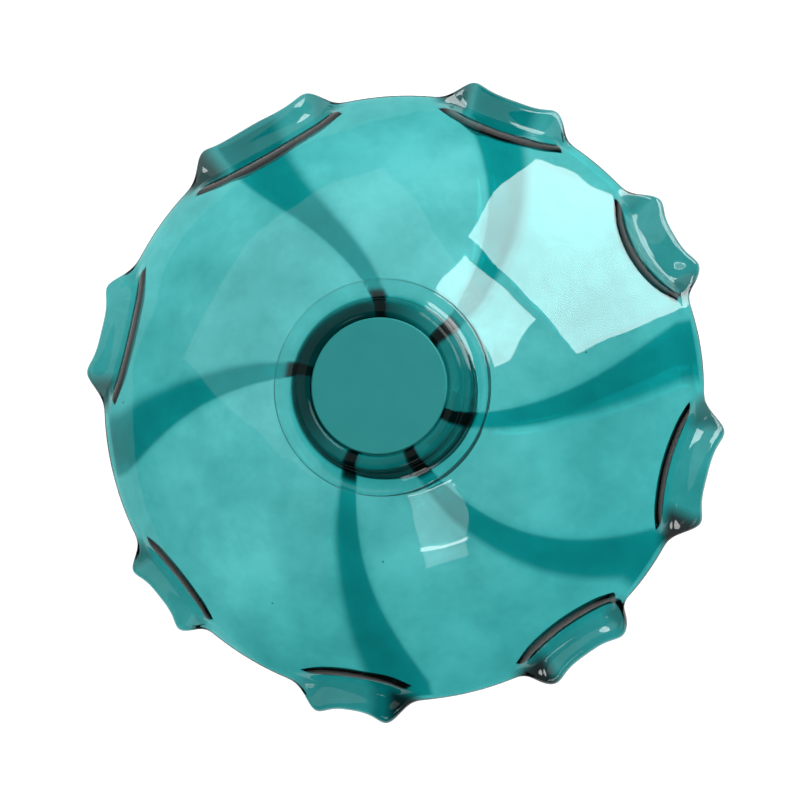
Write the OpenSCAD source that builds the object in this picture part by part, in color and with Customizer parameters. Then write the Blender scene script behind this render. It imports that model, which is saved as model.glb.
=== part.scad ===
// Glass bell insulator on a threaded steel pin, with its clamping and crossarm hardware.
// Millimetres, +Z up. The origin is the centre of the crossarm seat face under the pin's collar.

/* [Which piece] */
// Piece to draw, or all of them

/* [Bell] */
// Radius of the plain rim between the crimps
rim_r = 109; // [85:1:140]
// Height of the plain rim above the crossarm seat
rim_z = 20; // [16:1:45]
// Rise of the dome from the rim to the collar
dome_rise = 42; // [28:1:55]
// Slope of the dome where it leaves the collar, rise over run
dome_start = 0.2; // [0.1:0.05:0.35]
// Glass thickness of the dome
glass_t = 3.4; // [2.6:0.2:5]
// Extra thickness of the six swirled ribs, on the inside
rib_t = 1.2; // [0.6:0.2:2.4]
// Extra thickness of the glass in the crimps
crimp_t = 1.4; // [0:0.2:2]
// Swirled ribs: angle at the collar and at the rim, degrees from +X, and how much each bows ahead
ribs = [
  [96, 120.5, 0.22],
  [42.5, 70, -0.05],
  [-18, 8, 0.09],
  [-62.5, -34, -0.08],
  [-109, -90, 0],
  [170, 189, 0.04]
];
// Crimps in the rim: middle, half angle between horns, half angle at the rim, reach inward, drop
folds = [
  [118.5, 10.5, 16.5, 10, 10],
  [69, 7.5, 13.5, 8.5, 9],
  [30, 7.5, 12, 11, 11],
  [-15, 9, 13.5, 9.5, 8],
  [-54, 7.5, 12, 8, 11],
  [-99, 6, 12, 8, 7],
  [-141, 7.5, 10.5, 6.5, 6],
  [166.5, 7.5, 15, 8.5, 9]
];
// How far the horns reach beyond the plain rim
horn_out = 7.6; // [4:0.2:10]
// How far the middle of each crimp reaches beyond the plain rim
flap_out = 3.3; // [1:0.1:5]

/* [Neck] */
// Thickness of the neck's wall
neck_t = 5.7; // [4.5:0.1:7]
// Height of the neck above the dome
neck_h = 6; // [5:0.5:9]
// Radius of the round mouth in the neck, which the cap closes
mouth_r = 24.3; // [22:0.1:30]
// Thickness of the glass web the hardware clamps
web_t = 5; // [4:0.5:7]
// Width of the moulded collar round the foot of the neck
collar_w = 8; // [6:0.5:11]
// Thickness of the socket's wall under the dome
socket_t = 3; // [2.5:0.5:4]

/* [Pin] */
// Radius of the shank and of the stud, M16
pin_r = 8; // [6.5:0.1:9.6]
// Radius of the pin's body between the two collars
body_r = 10; // [9.5:0.5:12]
// Radius of the collar that stands on the crossarm
seat_r = 17; // [15:0.5:20]
// Length of the plain part of the shank under the seat, the thinnest steel it clamps
plain_l = 10; // [8:1:12]
// Thread pitch
pitch = 2; // [1.5:0.5:2.5]

/* [Hardware] */
// Opening left for the crossarm between the seat and the washer
arm_gap = 28; // [28:1:36]
// Outer radius of the round washers
washer_r = 15; // [14:0.5:18]
// Outer radius of the gaskets, the seat flange and the clamp washer
flange_r = 18; // [16:0.5:22]
// Width of the nuts across their flats
nut_af = 24; // [22:1:27]
// Thickness of the centring bush's wall
bush_t = 4; // [3:0.5:5]
// Thickness of each rubber gasket
gasket_t = 2; // [1.5:0.5:3]
// Thickness of the crown cap's disc
cap_t = 1.5; // [1:0.25:2]
// How far the clamp nut runs up before it meets the cap
clamp_travel = 2.5; // [2:0.5:4]

/* [Fits] */
// Radial clearance of the glass on its bush, which it turns on
turn_fit = 0.08; // [0.05:0.01:0.1]
// Radial clearance of the nuts on the thread and of the cap's stem in its bore
run_fit = 0.05; // [0.03:0.01:0.09]
// Radial clearance of plates and washers round the stud
slip_fit = 0.4; // [0.3:0.05:0.6]

/* [Hidden] */
$fn = 96;

// thicknesses of the standard hardware
flange_t = 3;
clamp_t = 2;
spring_t = 2;
thin_nut_t = 6.5;
washer_t = 3;
low_spring_t = 3.5;
low_nut_t = 13;

// heights, from the cap down to the pin's shoulder
dome_z = rim_z + dome_rise;
lip_z = dome_z + neck_h;
cap_z = lip_z - cap_t;
cap_gap = 0.5;
nut_z = cap_z - cap_gap - clamp_travel - thin_nut_t;
spring_z = nut_z - spring_t;
clamp_z = spring_z - clamp_t;
floor_z = clamp_z - gasket_t;
web_z = floor_z - web_t;
flange_z = web_z - gasket_t;
shoulder_z = flange_z - flange_t;

// crossarm hardware, down from the seat
washer_z = -arm_gap - washer_t;
low_spring_z = washer_z - low_spring_t;
low_nut_z = low_spring_z - low_nut_t;
split_r = 1.8;
split_z = low_nut_z - split_r - 2.2;
end_z = split_z - 5.5;

// radii
neck_r = mouth_r + neck_t;
collar_r = neck_r + collar_w;
bush_r = pin_r + bush_t;
web_r = bush_r + turn_fit;
cap_r = mouth_r - slip_fit;
pocket_r = flange_r + 1.5;
socket_r = pocket_r + socket_t;
stem_r = pin_r / 2;
stem_l = 12.5;
lid_lip = 1.6;
ledge_z = cap_z - lid_lip - 0.4;

// root of the threads
root_r = pin_r - 0.55 * pitch;

// dome: outer surface, height at a radius
dome_in = collar_r - 2;
dome_bend = (dome_rise - dome_start * (rim_r - dome_in)) / pow(rim_r - dome_in, 2);
function dome_h(r) = dome_z - dome_start * (r - dome_in) - dome_bend * pow(max(0, r - dome_in), 2);

function smooth(x) = let (t = min(1, max(0, x))) t * t * (3 - 2 * t);
function turn(a) = a - 360 * round(a / 360);
function mix(a, b, t) = a + (b - a) * t;
function total(v, i = 0) = i >= len(v) ? 0 : v[i] + total(v, i + 1);

// crimp: 1 between the horns, falling to 0 at the plain rim
function fold_part(a, f) =
  let (d = abs(turn(a - f[0])))
  d <= f[1] ? 1 : smooth((f[2] - d) / (f[2] - f[1]));
function fold_at(a) = total([for (f = folds) fold_part(a, f)]);
function drop_at(a) = total([for (f = folds) abs(turn(a - f[0])) < f[2] ? f[4] : 0]);

// crease where the dome ends, which arches inward across each crimp
edge_band = 3;
function arch_part(a, f) = max(0, 1 - pow(turn(a - f[0]) / f[2], 2)) * (f[3] - edge_band);
function crease_at(a) = rim_r - edge_band - total([for (f = folds) arch_part(a, f)]);

// how far the edge reaches beyond the plain rim
function reach_part(a, f) =
  let (d = abs(turn(a - f[0])))
  d >= f[2] ? 0
  : d <= f[1] ? flap_out + (horn_out - flap_out) * pow(d / f[1], 3)
  : horn_out * pow((f[2] - d) / (f[2] - f[1]), 1.5);
function reach_at(a) = total([for (f = folds) reach_part(a, f)]);

// rings of the skirt, from inside the collar to the edge
ring_n = 10;
crease_k = 6;
skirt_in = collar_r - 6;
function plain_r(k, a) =
  k <= crease_k
  ? mix(skirt_in, crease_at(a), k / crease_k)
  : mix(crease_at(a), rim_r, (k - crease_k) / (ring_n - 1 - crease_k));

// how far along its path a rib is at radius r, 0 at the collar and 1 near the rim
function way(r) = min(1, max(0, (r - collar_r) / (rim_r - 7 - collar_r)));

// rib: a smooth swelling with gentle sides, a little wider on the side it trails
rib_trail = 9;
rib_lead = 7.5;
trail_fade = 7.5;
lead_fade = 5.5;
function rib_mid(c, t) = mix(c[0], c[1], t + 4 * c[2] * t * (1 - t));
function rib_part(a, c, t) =
  let (d = turn(a - rib_mid(c, t)))
  d < 0 ? smooth((d + rib_trail) / trail_fade) : smooth((rib_lead - d) / lead_fade);
function rib_at(a, r) = total([for (c = ribs) rib_part(a, c, way(r))]) * smooth((r - collar_r + 2) / 14);

// the columns of points turn with the ribs, by their average
mean_turn = total([for (c = ribs) c[1] - c[0]]) / len(ribs);
function ring_turn(k) = -mean_turn * (1 - min(1, k / crease_k));

// crimp: width of its wall, fall of its floor, and lift of its edge
wall_w = 2.4;
floor_fall = 1;
edge_lift = 1.2;

// outer surface at ring k and rim angle a, as [radius, height]
function top_pt(k, a) =
  let (
    r = plain_r(k, a),
    f = fold_at(a),
    c = crease_at(a),
    e = rim_r + reach_at(a),
    low = dome_h(c) - drop_at(a)
  )
  k <= crease_k ? [r, dome_h(r)]
  : k == crease_k + 1 ? [mix(r, c + wall_w, f), mix(dome_h(r), low, f)]
  : k < ring_n - 1 ? [mix(r, mix(c + wall_w, e, 0.55), f), mix(dome_h(r), low - floor_fall, f)]
  : [e, mix(rim_z, low + edge_lift, f)];

// inner surface: the outer one moved along its own normal
function side_pt(k, a, t) =
  let (
    p = top_pt(max(0, k - 1), a),
    q = top_pt(min(ring_n - 1, k + 1), a),
    d = k == ring_n - 1 ? [1, 0] : q - p,
    l = norm(d),
    o = top_pt(k, a)
  )
  [o[0] + t * d[1] / l, o[1] - t * d[0] / l];

function thick_at(k, a) =
  glass_t
  + rib_t * rib_at(a + ring_turn(k), plain_r(k, a))
  + (k <= crease_k ? 0 : crimp_t * fold_at(a));

function spin(p, a) = [p[0] * cos(a), p[0] * sin(a), p[1]];

steps = 240;
module skirt() {
  top = [
    for (k = [0:ring_n - 1])
    for (j = [0:steps - 1])
    let (a = 360 * j / steps)
    spin(top_pt(k, a), a + ring_turn(k))
  ];
  low = [
    for (k = [0:ring_n - 1])
    for (j = [0:steps - 1])
    let (a = 360 * j / steps)
    spin(side_pt(k, a, thick_at(k, a)), a + ring_turn(k))
  ];
  m = ring_n * steps;
  faces = [
    for (k = [0:ring_n - 2])
    for (j = [0:steps - 1])
    let (i = (j + 1) % steps, p = k * steps, q = p + steps)
    each [
      [p + j, p + i, q + i],
      [p + j, q + i, q + j],
      [m + p + i, m + p + j, m + q + i],
      [m + p + j, m + q + j, m + q + i]
    ],
    for (j = [0:steps - 1])
    let (i = (j + 1) % steps, q = (ring_n - 1) * steps)
    each [
      [j, m + j, i],
      [i, m + j, m + i],
      [q + i, m + q + j, q + j],
      [q + i, m + q + i, m + q + j]
    ]
  ];
  polyhedron(points = concat(top, low), faces = faces, convexity = 6);
}

// neck, collar, mouth, and the socket with its web under the dome, turned about the axis
lip_q = 1.6;
step_z = dome_z + 0.9;
fillet_h = neck_h - lip_q - 1;
fillet_w = collar_r - 2.4 - neck_r;
under_z = dome_h(collar_r) - 1.25 * glass_t;
module hub() {
  rotate_extrude()
  polygon(concat(
    [[web_r, web_z], [socket_r - 2, web_z], [socket_r, web_z + 2], [socket_r, under_z - 3]],
    [[socket_r + 3, under_z], [collar_r, under_z], [collar_r, step_z]],
    [for (i = [6:-1:0])
      [neck_r + fillet_w * (1 - cos(15 * i)), step_z + fillet_h * (1 - sin(15 * i))]],
    [for (i = [0:3])
      [neck_r - lip_q * (1 - cos(30 * i)), lip_z - lip_q * (1 - sin(30 * i))]],
    [for (i = [0:3])
      [mouth_r + lip_q * (1 - sin(30 * i)), lip_z - lip_q * (1 - cos(30 * i))]],
    [[mouth_r, ledge_z], [pocket_r, ledge_z]],
    [[pocket_r, floor_z + 0.8], [pocket_r - 0.8, floor_z], [web_r, floor_z]]
  ));
}

module glass_bell() {
  color([0.35, 0.76, 0.74, 0.75])
  union() {
    hub();
    skirt();
  }
}

module ring(r0, r1, h, c = 0.4) {
  rotate_extrude()
  polygon([
    [r0, 0], [r1 - c, 0], [r1, c], [r1, h - c], [r1 - c, h], [r0, h]
  ]);
}

// flat disc that closes the mouth, with a stem that plugs into the stud
module crown_cap() {
  color([0.17, 0.52, 0.52])
  rotate_extrude()
  polygon([
    [0, cap_z - stem_l],
    [stem_r - 0.6, cap_z - stem_l],
    [stem_r, cap_z - stem_l + 0.6],
    [stem_r, cap_z],
    [cap_r - 2.2, cap_z],
    [cap_r - 2.2, cap_z - lid_lip],
    [cap_r - 0.6, cap_z - lid_lip],
    [cap_r - 0.6, cap_z],
    [cap_r, cap_z],
    [cap_r, lip_z - 0.4],
    [cap_r - 0.4, lip_z],
    [0, lip_z]
  ]);
}

module hex_nut(af, h, bore) {
  difference() {
    intersection() {
      cylinder(r = af / sqrt(3), h = h, $fn = 6);
      rotate_extrude()
      polygon([
        [0, 0], [af / 2 - 0.3, 0], [af / sqrt(3), 1.3], [af / sqrt(3), h - 1.3],
        [af / 2 - 0.3, h], [0, h]
      ]);
    }
    translate([0, 0, -1])
    cylinder(r = bore, h = h + 2);
    translate([0, 0, -0.01])
    cylinder(r1 = bore + 0.8, r2 = bore, h = 0.81);
    translate([0, 0, h - 0.8])
    cylinder(r1 = bore, r2 = bore + 0.8, h = 0.81);
  }
}

module clamp_nut() {
  color([0.72, 0.72, 0.7])
  translate([0, 0, nut_z])
  hex_nut(nut_af, thin_nut_t, pin_r + run_fit);
}

// split ring washer
module split_ring(r0, r1, h) {
  difference() {
    ring(r0, r1, h);
    rotate([0, 0, 20])
    translate([0, -1, -1])
    cube([r1 + 2, 2, h + 2]);
  }
}

module clamp_spring_washer() {
  color([0.45, 0.45, 0.47])
  translate([0, 0, spring_z])
  split_ring(pin_r + slip_fit, pin_r + 5, spring_t);
}

module clamp_washer() {
  color([0.7, 0.71, 0.7])
  translate([0, 0, clamp_z])
  ring(pin_r + slip_fit, flange_r, clamp_t, 0.5);
}

module upper_gasket() {
  color([0.09, 0.09, 0.09])
  translate([0, 0, floor_z])
  ring(bush_r + 1, flange_r, gasket_t);
}

module centring_bush() {
  color([0.86, 0.84, 0.76])
  translate([0, 0, flange_z])
  ring(pin_r + run_fit, bush_r, floor_z - flange_z, 0.5);
}

module lower_gasket() {
  color([0.09, 0.09, 0.09])
  translate([0, 0, flange_z])
  ring(bush_r + 1, flange_r, gasket_t);
}

// plate the bell stands on, with a stiffening lip turned down
module seat_flange() {
  color([0.66, 0.67, 0.66])
  rotate_extrude()
  polygon([
    [pin_r + run_fit, shoulder_z],
    [flange_r - 4, shoulder_z],
    [flange_r - 2.6, shoulder_z - 1.2],
    [flange_r - 2.6, shoulder_z - 3.2],
    [flange_r, shoulder_z - 3.2],
    [flange_r, flange_z - 0.8],
    [flange_r - 0.8, flange_z],
    [pin_r + run_fit, flange_z]
  ]);
}

// thread as rings, from z0 up to z1
function thread(z0, z1) = [
  for (i = [0:floor((z1 - z0) / pitch) - 1])
  each [
    [pin_r, z0 + pitch * i],
    [root_r, z0 + pitch * (i + 0.4)],
    [root_r, z0 + pitch * (i + 0.6)]
  ]
];

module insulator_pin() {
  color([0.55, 0.56, 0.56])
  difference() {
    rotate_extrude()
    polygon(concat(
      [[0, end_z], [root_r, end_z], [pin_r, end_z + 1.5]],
      thread(split_z + 4, -plain_l),
      [[pin_r, -plain_l], [pin_r, -0.6], [pin_r + 0.6, 0], [seat_r - 0.8, 0], [seat_r, 0.8]],
      [[seat_r, 4.6], [seat_r - 0.8, 5.4], [body_r + 3, 6.2], [body_r, 10]],
      [[body_r, shoulder_z - 6], [body_r + 3, shoulder_z - 3], [body_r + 3, shoulder_z]],
      [[pin_r, shoulder_z]],
      thread(clamp_z, cap_z - 1.6),
      [[pin_r, cap_z - 1.2], [pin_r - 1, cap_z], [0, cap_z]]
    ));
    translate([0, 0, cap_z - stem_l - 0.6])
    cylinder(r = stem_r + run_fit, h = stem_l + 4);
    translate([0, 0, split_z])
    rotate([0, 90, 0])
    cylinder(r = split_r + 0.15, h = 4 * pin_r, center = true);
    for (s = [-1, 1])
    translate([s * (body_r - 1.5 + body_r), 0, (shoulder_z + 4) / 2])
    cube([2 * body_r, 4 * body_r, 11], center = true);
  }
}

module crossarm_washer() {
  color([0.7, 0.71, 0.7])
  translate([0, 0, washer_z])
  ring(pin_r + slip_fit, washer_r, washer_t, 0.5);
}

module crossarm_spring_washer() {
  color([0.45, 0.45, 0.47])
  translate([0, 0, low_spring_z])
  split_ring(pin_r + slip_fit, pin_r + 5, low_spring_t);
}

module crossarm_nut() {
  color([0.72, 0.72, 0.7])
  translate([0, 0, low_nut_z])
  hex_nut(nut_af, low_nut_t, pin_r + run_fit);
}

// retaining split pin: eye, shank and two bent legs
module split_pin() {
  color([0.6, 0.6, 0.58])
  translate([0, 0, split_z])
  union() {
    translate([-pin_r - 1, 0, 0])
    rotate([0, 90, 0])
    cylinder(r = split_r, h = 2 * pin_r + 3);
    translate([-pin_r - 3.6, 0, 0])
    rotate([90, 0, 0])
    rotate_extrude()
    translate([2.6, 0])
    circle(r = 1.3, $fn = 24);
    for (s = [-1, 1])
    translate([pin_r + 1.6, 0, 0])
    rotate([0, 90 + s * 38, 0])
    cylinder(r = 1.1, h = 6.5);
  }
}

glass_bell();
crown_cap();
clamp_nut();
clamp_spring_washer();
clamp_washer();
upper_gasket();
centring_bush();
lower_gasket();
seat_flange();
insulator_pin();
crossarm_washer();
crossarm_spring_washer();
crossarm_nut();
split_pin();
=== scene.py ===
"""Teal glass bell with swirled ribs and a crimped rim, held on a threaded steel pin.

Everything is in metres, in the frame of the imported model: +Z up, origin at the crossarm seat.
"""
import math

import bmesh
import bpy
import numpy as np
from mathutils import Matrix, Vector


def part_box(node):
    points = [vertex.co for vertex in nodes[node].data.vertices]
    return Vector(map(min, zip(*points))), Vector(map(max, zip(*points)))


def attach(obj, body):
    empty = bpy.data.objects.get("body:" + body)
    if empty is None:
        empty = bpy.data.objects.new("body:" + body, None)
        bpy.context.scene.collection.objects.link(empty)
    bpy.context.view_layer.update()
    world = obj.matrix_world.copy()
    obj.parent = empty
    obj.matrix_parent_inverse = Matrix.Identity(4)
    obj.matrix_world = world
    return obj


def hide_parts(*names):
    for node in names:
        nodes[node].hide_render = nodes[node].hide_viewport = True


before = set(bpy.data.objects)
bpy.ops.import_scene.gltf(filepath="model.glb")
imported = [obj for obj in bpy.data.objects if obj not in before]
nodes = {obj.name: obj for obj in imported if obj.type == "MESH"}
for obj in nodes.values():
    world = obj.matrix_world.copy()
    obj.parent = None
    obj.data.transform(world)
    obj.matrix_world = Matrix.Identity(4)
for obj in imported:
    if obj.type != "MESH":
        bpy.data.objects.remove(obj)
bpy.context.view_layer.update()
MM = 0.001


# ---------------------------------------------------------------- sizes, from the frame

cap_lo, cap_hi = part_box("crown_cap")
gasket_lo, gasket_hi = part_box("upper_gasket")
seat_lo, seat_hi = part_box("lower_gasket")
bush_lo, bush_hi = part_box("centring_bush")
pin_lo, pin_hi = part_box("insulator_pin")

LIP_Z = cap_hi.z
FLOOR_Z = gasket_lo.z
WEB_Z = seat_hi.z
WEB_R = bush_hi.x + 0.08 * MM
WEB_ROUND = 0.6 * MM
MOUTH_R = cap_hi.x + 0.4 * MM
LEDGE_Z = pin_hi.z - 2.0 * MM
POCKET_R = gasket_hi.x + 1.5 * MM
SOCKET_R = POCKET_R + 3 * MM

RIM_R = 109 * MM
RIM_Z = 20 * MM
NECK_H = 6 * MM
DOME_Z = LIP_Z - NECK_H
DOME_START = 0.2
GLASS_T = 3.4 * MM
RIB_T = 1.2 * MM
NECK_R = 30 * MM
COLLAR_R = 38 * MM
EDGE_BAND = 3 * MM
WALL_W = 4.4 * MM
FLOOR_FALL = 1.2 * MM
EDGE_LIFT = 1.2 * MM
HORN_OUT = 7.6 * MM
FLAP_OUT = 3.3 * MM
CRIMP_T = 1.4 * MM

# crimps: middle, half angle between the horns, half angle at the plain rim, in degrees,
# how far the crease arches inward and how far the crimp drops,
# and how much painted shade darkens the counter-clockwise and the clockwise end
FOLDS = [
    (118.5, 11.0, 17.0, 10 * MM, 10 * MM, 0.9, 0.5),
    (69.0, 8.0, 13.5, 8.5 * MM, 9 * MM, 0.8, 0.3),
    (30.0, 7.0, 12.0, 11 * MM, 11 * MM, 0.4, 0.6),
    (-15.0, 8.5, 14.0, 9.5 * MM, 8 * MM, 0.7, 1.0),
    (-54.5, 7.5, 12.0, 8 * MM, 11 * MM, 0.6, 1.0),
    (-99.0, 6.5, 12.0, 8 * MM, 7 * MM, 1.0, 0.3),
    (-141.0, 7.0, 11.0, 6.5 * MM, 6 * MM, 0.4, 0.6),
    (167.0, 8.0, 14.5, 8.5 * MM, 9 * MM, 0.8, 0.3),
]
# ribs: angle at the collar and at the rim, in degrees, and how far each bows ahead on its way
RIBS = [
    (96.0, 120.5, 0.22),
    (42.5, 70.0, -0.05),
    (-18.0, 8.0, 0.09),
    (-62.5, -34.0, -0.08),
    (-109.0, -90.0, 0.0),
    (170.0, 189.0, 0.04),
]
MEAN_TURN = sum(end - start for start, end, bow in RIBS) / len(RIBS)
# a rib's half widths and the width of its gentle sides, in degrees
RIB_TRAIL, TRAIL_FADE = 9.0, 7.5
RIB_LEAD, LEAD_FADE = 7.5, 5.5
# how strong the ribs' colour is on the inside of the dome
DOME_STAIN = 0.6
# rings of the dome and of the crimps, and the share of a crimp's rings that are its wall
DOME_RINGS = 62
CRIMP_RINGS = 34
WALL_SHARE = 0.34


# ---------------------------------------------------------------- the glass bell

def smooth(x):
    t = np.clip(x, 0.0, 1.0)
    return t * t * (3 - 2 * t)


def turn(a):
    return a - 360.0 * np.round(a / 360.0)


def dome_h(r):
    """Height of the dome's outer surface at a radius."""
    start = COLLAR_R - 2 * MM
    bend = (DOME_Z - RIM_Z - DOME_START * (RIM_R - start)) / (RIM_R - start) ** 2
    return DOME_Z - DOME_START * (r - start) - bend * np.maximum(0, r - start) ** 2


def fold_at(a):
    """Where the crimps are, how far they drop, and where the dome's crease lies, by angle."""
    fold = np.zeros_like(a)
    drop = np.zeros_like(a)
    crease = np.full_like(a, RIM_R - EDGE_BAND)
    for mid, horn, foot, reach_in, depth, _, _ in FOLDS:
        d = np.abs(turn(a - mid))
        inside = d < foot
        fold = np.maximum(fold, smooth((foot - d) / (foot - horn)))
        drop = np.where(inside, depth, drop)
        crease = np.where(inside, crease - (reach_in - EDGE_BAND) * (1 - (d / foot) ** 2), crease)
    return fold, drop, crease


def reach_at(a):
    """How far the edge reaches beyond the plain rim."""
    out = np.zeros_like(a)
    for mid, horn, foot, *_ in FOLDS:
        d = np.abs(turn(a - mid))
        inner = FLAP_OUT + (HORN_OUT - FLAP_OUT) * (d / horn) ** 3
        outer = HORN_OUT * (np.clip(foot - d, 0, None) / (foot - horn)) ** 1.5
        out = np.maximum(out, np.where(d <= horn, inner, outer))
    return out


def rib_offset(a, r):
    """For each rib, the angle from its middle line, which bends on its way to the rim."""
    t = np.clip((r - COLLAR_R) / (RIM_R - 7 * MM - COLLAR_R), -0.15, 1)
    for start, end, bow in RIBS:
        yield turn(a - start - (end - start) * (t + 4 * bow * t * (1 - t)))


def rib_at(a, r):
    """Rib height, 0 to 1: a smooth swelling with gentle sides."""
    rib = np.zeros_like(a)
    for d in rib_offset(a, r):
        trail = smooth((d + RIB_TRAIL) / TRAIL_FADE)
        lead = smooth((RIB_LEAD - d) / LEAD_FADE)
        rib = np.maximum(rib, np.where(d < 0, trail, lead))
    return rib * smooth((r - COLLAR_R + 2 * MM) / (14 * MM))


def stain_at(a, r):
    """Where the ribs' deeper colour shows, 0 to 1: soft on the clockwise side, crisp on the other."""
    stain = np.zeros_like(a)
    wide = 0.4 + 1.3 * smooth((r - 60 * MM) / (40 * MM))
    for d in rib_offset(a, r):
        soft = smooth((d + 5.6 + wide) / 3.0)
        crisp = smooth((5.1 + wide - d) / 1.2)
        stain = np.maximum(stain, np.where(d < 0, soft, crisp))
    return stain


def crimp_shade_at(a, r):
    """Painted shade at the crimps' folded ends, 0 to 1, and a faint darkening over each crimp's floor."""
    crimp_shade_and_tint = np.zeros_like(a)
    for mid, _, foot, reach_in, _, left, right in FOLDS:
        d = turn(a - mid) / foot
        inside = smooth((r - RIM_R + reach_in + 1.5 * MM - reach_in * 0.6 * d ** 2) / (6 * MM))
        for side, dark in ((1, left), (-1, right)):
            width = 0.30 + 0.16 * dark
            crimp_shade_and_tint = np.maximum(crimp_shade_and_tint, dark * inside * smooth((width - np.abs(side * d - 0.82)) / 0.34))
        crimp_shade_and_tint = np.maximum(crimp_shade_and_tint, 0.22 * inside * smooth((0.95 - np.abs(d)) / 0.3))
    return crimp_shade_and_tint


def soften(grid, passes):
    """Averages a (ring, column, xyz) grid with its neighbours; columns wrap round."""
    g = grid.copy()
    for _ in range(passes):
        g = 0.5 * g + 0.25 * (np.roll(g, 1, axis=1) + np.roll(g, -1, axis=1))
        inner = 0.5 * g[1:-1] + 0.25 * (g[:-2] + g[2:])
        g = np.concatenate([g[:1], inner, g[-1:]])
    return g


def grid_normals(grid):
    along = np.gradient(grid, axis=0)
    around = np.roll(grid, -1, axis=1) - np.roll(grid, 1, axis=1)
    n = np.cross(along, around)
    return n / np.linalg.norm(n, axis=2, keepdims=True)


def skirt_surface(cols):
    """The dome's outer surface as a grid of points, from the collar to the edge."""
    a = np.linspace(0, 360, cols, endpoint=False)
    fold, drop, crease = fold_at(a)
    edge = RIM_R + reach_at(a)
    low_z = dome_h(crease) - drop
    foot_r = crease + WALL_W
    rings = []
    for t in np.linspace(0, 1, DOME_RINGS):
        r = COLLAR_R + (crease - COLLAR_R) * t
        rings.append((r, dome_h(r), -MEAN_TURN * (1 - t)))
    # across a crimp each ring first goes down the wall, then out along the floor to the edge
    for v in np.linspace(0, 1, CRIMP_RINGS)[1:]:
        wall = min(1, v / WALL_SHARE)
        floor = max(0, v - WALL_SHARE) / (1 - WALL_SHARE)
        lift = float(smooth((v - 0.5) / 0.5)) * EDGE_LIFT
        r1 = crease + WALL_W * wall if v < WALL_SHARE else foot_r + (edge - foot_r) * floor
        down = (low_z - dome_h(crease)) * float(smooth(wall))
        z1 = dome_h(crease) + down - FLOOR_FALL * floor + lift
        r0 = crease + (RIM_R - crease) * v
        r = (crease + (edge - crease) * v) * (1 - fold) + r1 * fold
        rings.append((r, dome_h(r0) * (1 - fold) + z1 * fold, 0.0))
    grid = np.zeros((len(rings), cols, 3))
    for k, (r, z, t) in enumerate(rings):
        w = np.radians(a + t)
        grid[k] = np.stack([r * np.cos(w), r * np.sin(w), z], axis=1)
    return a, fold, grid


def polar(grid):
    """Radius, and angle in degrees, of each point."""
    return np.hypot(grid[..., 0], grid[..., 1]), np.degrees(np.arctan2(grid[..., 1], grid[..., 0]))


def ripple(grid, amount, seed, slow=25, fast=130):
    """A slow hand-made unevenness, the same each run."""
    rng = np.random.default_rng(seed)
    x, y = grid[..., 0], grid[..., 1]
    h = np.zeros(x.shape)
    for _ in range(14):
        k = rng.uniform(slow, fast)
        d = rng.uniform(0, 2 * math.pi)
        h += np.sin(k * (x * math.cos(d) + y * math.sin(d)) + rng.uniform(0, 6.28)) / 14 ** 0.5
    return h * amount


def arc(cx, cz, rx, rz, a0, a1, n):
    t = np.radians(np.linspace(a0, a1, n))
    return [(cx + rx * math.cos(w), cz + rz * math.sin(w)) for w in t]


def hub_profile():
    """Radius and height round the neck, from the collar's foot over the lip to the web's hole."""
    lip_q = 1.6 * MM
    step_z = DOME_Z + 0.6 * MM
    fw, fh = COLLAR_R - 2.4 * MM - NECK_R, LIP_Z - lip_q - step_z
    outer = [(COLLAR_R, dome_h(COLLAR_R) + 0.3 * MM)]
    outer += arc(COLLAR_R - 0.8 * MM, step_z - 0.5 * MM, 0.8 * MM, 0.5 * MM, 0, 90, 5)
    outer += [(r, step_z) for r in np.linspace(COLLAR_R - 0.8 * MM, NECK_R + fw, 6)[1:-1]]
    outer += arc(NECK_R + fw, LIP_Z - lip_q, fw, fh, 270, 180, 16)
    outer += arc(NECK_R - lip_q, LIP_Z - lip_q, lip_q, lip_q, 0, 90, 9)[1:]
    outer += arc(MOUTH_R + lip_q, LIP_Z - lip_q, lip_q, lip_q, 90, 180, 9)
    outer += [(MOUTH_R, LEDGE_Z + 0.3 * MM), (MOUTH_R - 0.3 * MM, LEDGE_Z)]
    outer += [(POCKET_R + 0.5 * MM, LEDGE_Z), (POCKET_R, LEDGE_Z - 0.5 * MM)]
    outer += [(POCKET_R, z) for z in np.linspace(LEDGE_Z - 0.5 * MM, FLOOR_Z + 1.5 * MM, 8)[1:-1]]
    outer += arc(POCKET_R - 1.5 * MM, FLOOR_Z + 1.5 * MM, 1.5 * MM, 1.5 * MM, 0, -90, 6)
    outer += [(r, FLOOR_Z) for r in np.linspace(POCKET_R - 1.5 * MM, WEB_R + WEB_ROUND, 5)[1:-1]]
    outer += arc(WEB_R + WEB_ROUND, FLOOR_Z - WEB_ROUND, WEB_ROUND, WEB_ROUND, 90, 180, 4)
    outer += arc(WEB_R + WEB_ROUND, WEB_Z + WEB_ROUND, WEB_ROUND, WEB_ROUND, 180, 270, 4)
    return outer


def socket_profile(start_z):
    """Radius and height under the hub, from the inside of the collar down round the socket."""
    fr = 2.2 * MM
    under = [(r, start_z) for r in np.linspace(COLLAR_R - 1 * MM, SOCKET_R + fr, 8)]
    under += arc(SOCKET_R + fr, start_z - fr, fr, fr, 90, 180, 9)[1:]
    under += [(SOCKET_R, z) for z in np.linspace(start_z - fr, WEB_Z + 2 * MM, 6)[1:-1]]
    under += arc(SOCKET_R - 2 * MM, WEB_Z + 2 * MM, 2 * MM, 2 * MM, 0, -90, 7)
    under += [(r, WEB_Z) for r in np.linspace(SOCKET_R - 2 * MM, WEB_R + WEB_ROUND, 5)[1:-1]]
    return under


def turned(profile, w):
    """Rings of points at the angles w, one for each radius and height of a profile."""
    rings = [np.stack([r * np.cos(w), r * np.sin(w), np.full_like(w, z)], axis=1) for r, z in profile]
    return np.array(rings)


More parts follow.
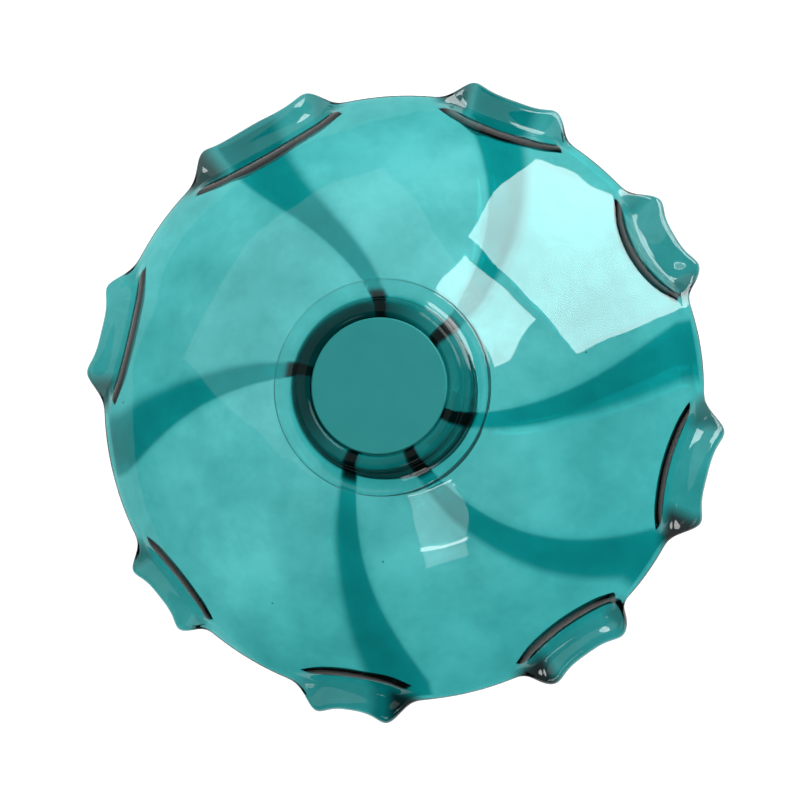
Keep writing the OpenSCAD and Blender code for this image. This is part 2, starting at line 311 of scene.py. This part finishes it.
def round_edge(top, low):
    """Rings that join the two surfaces round the rim, as a fire-polished edge."""
    out = top[-1] - top[-3]
    out /= np.linalg.norm(out, axis=1, keepdims=True)
    half = (top[-1] - low[-1]) / 2
    mid = (top[-1] + low[-1]) / 2
    size = np.linalg.norm(half, axis=1, keepdims=True)
    turns = np.radians(np.linspace(0, 180, 9))[1:-1]
    return np.array([mid + math.cos(w) * half + math.sin(w) * out * size * 0.8 for w in turns])


def glass_bell():
    """One closed skin: hub profile, outer dome, rounded edge, ribbed inside, and back to the web."""
    cols = 960
    a, fold, top = skirt_surface(cols)
    top = np.concatenate([top[:3], soften(top, 12)[3:]])
    normal = grid_normals(soften(top, 14))
    wave = ripple(top, 0.22 * MM, 3) + ripple(top, 0.04 * MM, 5, 180, 400)
    top[..., 2] += wave * smooth((polar(top)[0] - COLLAR_R) / (8 * MM))
    radius, angle = polar(top)
    crimp = fold[None, :] * smooth((np.arange(len(top)) - (DOME_RINGS - 1)) / 8.0)[:, None]
    thick = GLASS_T + RIB_T * rib_at(angle, radius) + CRIMP_T * crimp + ripple(top, 0.15 * MM, 9)
    sign = -1.0 if normal[..., 2].mean() > 0 else 1.0
    low = top + sign * normal * thick[..., None]
    edge = round_edge(top, low)
    # hub and underside, twisted with the collar end of the skirt so that the columns meet
    w = np.radians(a - MEAN_TURN)
    hub = turned(hub_profile()[::-1], w)
    under = turned(socket_profile(float(low[0, :, 2].mean())), w)
    loop = np.concatenate([hub, top, edge, low[::-1], under])
    obj = skin("glass_bell_skin", loop)
    colour_layers(obj, loop, len(hub) + len(top) + len(edge))
    return obj


def colour_layers(obj, loop, first):
    """Stores the ribs' colour together with the neck's painted shade, the crimps' painted shade, and the neck
    ring's mask; the inside of the glass starts at ring first.
    """
    # the ribs' colour lies on the inside of the dome, and deeper on both sides of the hub
    loop_r, loop_a = polar(loop)
    stain = stain_at(loop_a, loop_r)
    near = smooth((COLLAR_R - 2 * MM - loop_r) / (3 * MM)) * smooth((loop_r - POCKET_R) / (2 * MM))
    # painted shade: the neck's ring is darkened towards the -X +Y side, and goes into the rib layer
    mouth = smooth((loop_r - POCKET_R) / (2 * MM)) * smooth((NECK_R + 1.5 * MM - loop_r) / (3 * MM))
    shade = 0.85 * mouth * smooth((np.cos(np.radians(loop_a - 150)) + 0.35) / 1.1)
    stain = np.maximum(stain * near, shade)
    stain[first:] = np.maximum(stain[first:], DOME_STAIN * stain_at(loop_a[first:], loop_r[first:]))
    fade = 1.5 * MM
    ring = smooth((loop_r - MOUTH_R + fade) / fade) * smooth((NECK_R + 2.5 * MM - loop_r) / fade)
    ring[first:] = 0
    for name, values in (("rib", stain), ("crimp_shade_and_tint", crimp_shade_at(loop_a, loop_r)), ("ring", ring)):
        store = obj.data.attributes.new(name, "FLOAT", "POINT")
        store.data.foreach_set("value", values.reshape(-1))


def skin(name, loop):
    """A closed skin from rings of points: rings close on themselves, and the last meets the first."""
    rings, cols, _ = loop.shape
    k, j = np.meshgrid(np.arange(rings), np.arange(cols), indexing="ij")
    k1, j1 = (k + 1) % rings, (j + 1) % cols
    quads = np.stack([k * cols + j, k * cols + j1, k1 * cols + j1, k1 * cols + j], axis=2).reshape(-1, 4)
    mesh = bpy.data.meshes.new(name)
    mesh.from_pydata(loop.reshape(-1, 3).tolist(), [], quads.tolist())
    mesh.validate()
    mesh.polygons.foreach_set("use_smooth", [True] * len(mesh.polygons))
    obj = bpy.data.objects.new(name, mesh)
    bpy.context.scene.collection.objects.link(obj)
    bm = bmesh.new()
    bm.from_mesh(mesh)
    bmesh.ops.recalc_face_normals(bm, faces=bm.faces)
    bm.to_mesh(mesh)
    bm.free()
    return obj


# ---------------------------------------------------------------- materials

def material(name):
    mat = bpy.data.materials.new(name)
    mat.use_nodes = True
    tree = mat.node_tree
    return mat, tree, tree.nodes["Principled BSDF"], tree.nodes["Material Output"]


def noise(tree, scale, detail=4.0, rough=0.5):
    coord = tree.nodes.new("ShaderNodeTexCoord")
    tex = tree.nodes.new("ShaderNodeTexNoise")
    tex.inputs["Scale"].default_value = scale
    tex.inputs["Detail"].default_value = detail
    tex.inputs["Roughness"].default_value = rough
    tree.links.new(coord.outputs["Object"], tex.inputs["Vector"])
    return tex.outputs["Fac"]


def ramp(tree, source, stops):
    node = tree.nodes.new("ShaderNodeValToRGB")
    node.color_ramp.elements[0].position, node.color_ramp.elements[0].color = stops[0]
    node.color_ramp.elements[1].position, node.color_ramp.elements[1].color = stops[-1]
    for pos, col in stops[1:-1]:
        node.color_ramp.elements.new(pos).color = col
    tree.links.new(source, node.inputs["Fac"])
    return node.outputs["Color"]


def layer(tree, name):
    """The value of one of the mesh's own layers."""
    node = tree.nodes.new("ShaderNodeAttribute")
    node.attribute_name = name
    return node.outputs["Fac"]


def multiply(tree, first, second):
    node = tree.nodes.new("ShaderNodeMix")
    node.data_type = "RGBA"
    node.blend_type = "MULTIPLY"
    node.inputs[0].default_value = 1.0
    tree.links.new(first, node.inputs[6])
    tree.links.new(second, node.inputs[7])
    return node.outputs[2]


def painted_side_shade(tree):
    """Painted shade: a slow darkening across the bell, deeper towards its +X -Y side."""
    coord = tree.nodes.new("ShaderNodeTexCoord")
    across = tree.nodes.new("ShaderNodeVectorMath")
    across.operation = "DOT_PRODUCT"
    across.inputs[1].default_value = (3.2, -3.2, 0.0)
    tree.links.new(coord.outputs["Object"], across.inputs[0])
    return ramp(tree, across.outputs["Value"], [(0.0, (1, 1, 1, 1)), (0.42, (0.50, 0.74, 0.75, 1))])


def seeds(tree):
    """A few dark specks, as bubbles and grit leave in hand-made glass."""
    coord = tree.nodes.new("ShaderNodeTexCoord")
    cells = tree.nodes.new("ShaderNodeTexVoronoi")
    cells.inputs["Scale"].default_value = 42.0
    tree.links.new(coord.outputs["Object"], cells.inputs["Vector"])
    return ramp(tree, cells.outputs["Distance"], [(0.010, (0.0, 0.05, 0.05, 1)), (0.020, (1, 1, 1, 1))])


def bump(tree, shader, source, strength, distance):
    node = tree.nodes.new("ShaderNodeBump")
    node.inputs["Strength"].default_value = strength
    node.inputs["Distance"].default_value = distance
    tree.links.new(source, node.inputs["Height"])
    tree.links.new(node.outputs["Normal"], shader.inputs["Normal"])


def teal_glass():
    mat, tree, shader, out = material("teal_glass")
    # the rib layer holds the ribs' colour and, on the neck's ring, painted shade
    stops = [(0.0, (1, 1, 1, 1)), (DOME_STAIN, (0.0, 0.36, 0.37, 1)), (1.0, (0.0, 0.03, 0.03, 1))]
    tint = ramp(tree, layer(tree, "rib"), stops)
    # painted shade at the crimps' folded ends, and a faint darkening over their floors
    crimp_shade_and_tint = ramp(tree, layer(tree, "crimp_shade_and_tint"), [(0.0, (1, 1, 1, 1)), (1.0, (0.60, 0.07, 0.07, 1))])
    tint = multiply(tree, tint, crimp_shade_and_tint)
    for size, low in ((16, 0.72), (55, 0.84)):
        stops = [(0.36, (low - 0.12, low, low, 1)), (0.62, (1, 1, 1, 1))]
        tint = multiply(tree, tint, ramp(tree, noise(tree, size, 6.0, 0.6), stops))
    # painted shade, darker towards the bell's +X -Y side
    tint = multiply(tree, tint, painted_side_shade(tree))
    tint = multiply(tree, tint, seeds(tree))
    tree.links.new(tint, shader.inputs["Base Color"])
    shader.inputs["Roughness"].default_value = 0.02
    shader.inputs["IOR"].default_value = 1.5
    shader.inputs["Transmission Weight"].default_value = 1.0
    bump(tree, shader, noise(tree, 60, 2.0), 0.12, 0.0004)
    # the thick glass of the neck glows with the light scattered inside it
    glow = tree.nodes.new("ShaderNodeBsdfDiffuse")
    deep = ramp(tree, noise(tree, 30, 3.0), [(0.35, (0.004, 0.13, 0.128, 1)), (0.65, (0.01, 0.22, 0.216, 1))])
    tree.links.new(multiply(tree, tint, deep), glow.inputs["Color"])
    share = ramp(tree, layer(tree, "ring"), [(0.0, (0, 0, 0, 1)), (1.0, (0.7, 0.7, 0.7, 1))])
    mix = tree.nodes.new("ShaderNodeMixShader")
    tree.links.new(share, mix.inputs["Fac"])
    tree.links.new(shader.outputs["BSDF"], mix.inputs[1])
    tree.links.new(glow.outputs["BSDF"], mix.inputs[2])
    tree.links.new(mix.outputs["Shader"], out.inputs["Surface"])
    absorb = tree.nodes.new("ShaderNodeVolumeAbsorption")
    absorb.inputs["Color"].default_value = (0.0, 0.73, 0.73, 1)
    absorb.inputs["Density"].default_value = 600.0
    tree.links.new(absorb.outputs["Volume"], out.inputs["Volume"])
    return mat


def teal_enamel():
    mat, tree, shader, _ = material("teal_enamel")
    stops = [(0.3, (0.012, 0.192, 0.190, 1)), (0.7, (0.015, 0.204, 0.200, 1))]
    tree.links.new(ramp(tree, noise(tree, 90, 6.0), stops), shader.inputs["Base Color"])
    shader.inputs["Roughness"].default_value = 0.55
    shader.inputs["Specular IOR Level"].default_value = 0.2
    bump(tree, shader, noise(tree, 900, 2.0), 0.05, 0.0001)
    return mat


def steel(name, dark, light, rough, scale=220, dent=0.15):
    mat, tree, shader, _ = material(name)
    spots = noise(tree, scale, 8.0, 0.65)
    tree.links.new(ramp(tree, spots, [(0.35, (*dark, 1)), (0.65, (*light, 1))]), shader.inputs["Base Color"])
    shader.inputs["Metallic"].default_value = 1.0
    grey = ramp(tree, spots, [(0.3, (rough + 0.12,) * 3 + (1,)), (0.7, (rough - 0.06,) * 3 + (1,))])
    tree.links.new(grey, shader.inputs["Roughness"])
    bump(tree, shader, noise(tree, scale * 3, 5.0), dent, 0.0002)
    return mat


def matt(name, dark, light, rough, scale=400):
    mat, tree, shader, _ = material(name)
    spots = noise(tree, scale, 8.0, 0.6)
    tree.links.new(ramp(tree, spots, [(0.35, (*dark, 1)), (0.7, (*light, 1))]), shader.inputs["Base Color"])
    shader.inputs["Roughness"].default_value = rough
    bump(tree, shader, spots, 0.2, 0.0002)
    return mat


def paint(node, mat):
    mesh = nodes[node].data
    mesh.materials.clear()
    mesh.materials.append(mat)


# ---------------------------------------------------------------- stage, lights and camera

def stage():
    """A plain pale floor that glows a little, as a lit table does, so glass over it stays clear."""
    bpy.ops.mesh.primitive_grid_add(size=6.0, x_subdivisions=4, y_subdivisions=4)
    floor = bpy.context.object
    floor.name = "floor"
    floor.location.z = pin_lo.z
    mat, tree, shader, _ = material("floor_white")
    coord = tree.nodes.new("ShaderNodeTexCoord")
    distance = tree.nodes.new("ShaderNodeVectorMath")
    distance.operation = "LENGTH"
    tree.links.new(coord.outputs["Object"], distance.inputs[0])
    glow = ramp(tree, distance.outputs["Value"], [(0.26, (1.0,) * 3 + (1,)), (0.80, (0.35,) * 3 + (1,))])
    shader.inputs["Base Color"].default_value = (0.25, 0.25, 0.25, 1)
    shader.inputs["Roughness"].default_value = 0.9
    shader.inputs["Specular IOR Level"].default_value = 0.0
    tree.links.new(glow, shader.inputs["Emission Color"])
    shader.inputs["Emission Strength"].default_value = 1.0
    floor.data.materials.append(mat)


def softbox(name, direction, distance, width, height, radiance):
    """A soft light facing the bell; radiance is what its reflection shows."""
    light = bpy.data.lights.new(name, "AREA")
    light.shape = "RECTANGLE"
    light.size, light.size_y = width, height
    light.energy = radiance * math.pi * width * height
    obj = bpy.data.objects.new(name, light)
    d = Vector(direction).normalized()
    obj.location = Vector((0, 0, RIM_Z)) + d * distance
    obj.rotation_euler = d.to_track_quat("Z", "Y").to_euler()
    bpy.context.scene.collection.objects.link(obj)


def lights():
    softbox("key_low", (0.640, 0.650, 0.410), 1.3, 1.12, 0.86, 8.5)
    softbox("key_high", (0.323, 0.429, 0.843), 1.6, 0.77, 0.60, 8.5)
    softbox("front_fill", (0.112, -0.577, 0.809), 1.6, 0.36, 0.75, 2.2)
    softbox("front_strip", (0.129, -0.664, 0.736), 1.5, 0.36, 0.03, 9.0)
    softbox("front_strip_high", (0.077, -0.396, 0.915), 1.5, 0.34, 0.02, 8.0)
    softbox("haze", (-0.45, 0.45, 0.77), 1.9, 2.8, 2.4, 0.7)
    world = bpy.data.worlds.new("studio")
    bpy.context.scene.world = world
    world.use_nodes = True
    tree = world.node_tree
    dark = tree.nodes["Background"]
    dark.inputs["Color"].default_value = (1, 1, 1, 1)
    dark.inputs["Strength"].default_value = 0.04
    pale = tree.nodes.new("ShaderNodeBackground")
    pale.inputs["Color"].default_value = (1, 1, 1, 1)
    pale.inputs["Strength"].default_value = 0.8
    path = tree.nodes.new("ShaderNodeLightPath")
    mix = tree.nodes.new("ShaderNodeMixShader")
    tree.links.new(path.outputs["Is Camera Ray"], mix.inputs["Fac"])
    tree.links.new(dark.outputs["Background"], mix.inputs[1])
    tree.links.new(pale.outputs["Background"], mix.inputs[2])
    tree.links.new(mix.outputs["Shader"], tree.nodes["World Output"].inputs["Surface"])


def camera():
    """Looks down on the bell, a little from its +X -Y side."""
    tilt = math.radians(9.8)
    side = Vector((0.90, -0.43, 0)).normalized()
    back = side * math.sin(tilt) + Vector((0, 0, math.cos(tilt)))
    target = Vector((0.0, -0.0014, RIM_Z))
    distance = 1.3
    cam = bpy.data.cameras.new("camera")
    cam.sensor_width = 36.0
    cam.lens = 36.0 * distance / 0.288
    obj = bpy.data.objects.new("camera", cam)
    bpy.context.scene.collection.objects.link(obj)
    right = Vector((0, 1, 0)).cross(back).normalized()
    up = back.cross(right)
    basis = Matrix((right, up, back)).transposed().to_4x4()
    obj.matrix_world = Matrix.Translation(target + back * distance) @ basis
    bpy.context.scene.camera = obj


# ---------------------------------------------------------------- the scene

bell = glass_bell()
bell.data.materials.append(teal_glass())
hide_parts("glass_bell")
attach(bell, "bell")

galvanised = steel("galvanised_steel", (0.30, 0.31, 0.32), (0.52, 0.53, 0.54), 0.48, 160, 0.3)
zinc = steel("zinc_steel", (0.48, 0.49, 0.48), (0.66, 0.67, 0.66), 0.34, 200, 0.15)
plated = steel("plated_steel", (0.55, 0.55, 0.53), (0.74, 0.74, 0.71), 0.26, 240, 0.1)
spring = steel("spring_steel", (0.10, 0.10, 0.11), (0.22, 0.22, 0.23), 0.42, 260, 0.2)
rubber = matt("black_rubber", (0.012, 0.012, 0.012), (0.035, 0.035, 0.035), 0.75)
nylon = matt("nylon", (0.66, 0.63, 0.54), (0.76, 0.74, 0.66), 0.45)

paint("crown_cap", teal_enamel())
paint("insulator_pin", galvanised)
for node in ("clamp_washer", "crossarm_washer", "seat_flange"):
    paint(node, zinc)
for node in ("clamp_nut", "crossarm_nut", "split_pin"):
    paint(node, plated)
for node in ("clamp_spring_washer", "crossarm_spring_washer"):
    paint(node, spring)
for node in ("upper_gasket", "lower_gasket"):
    paint(node, rubber)
paint("centring_bush", nylon)

stage()
lights()
camera()
bpy.context.scene.view_settings.view_transform = "Standard"
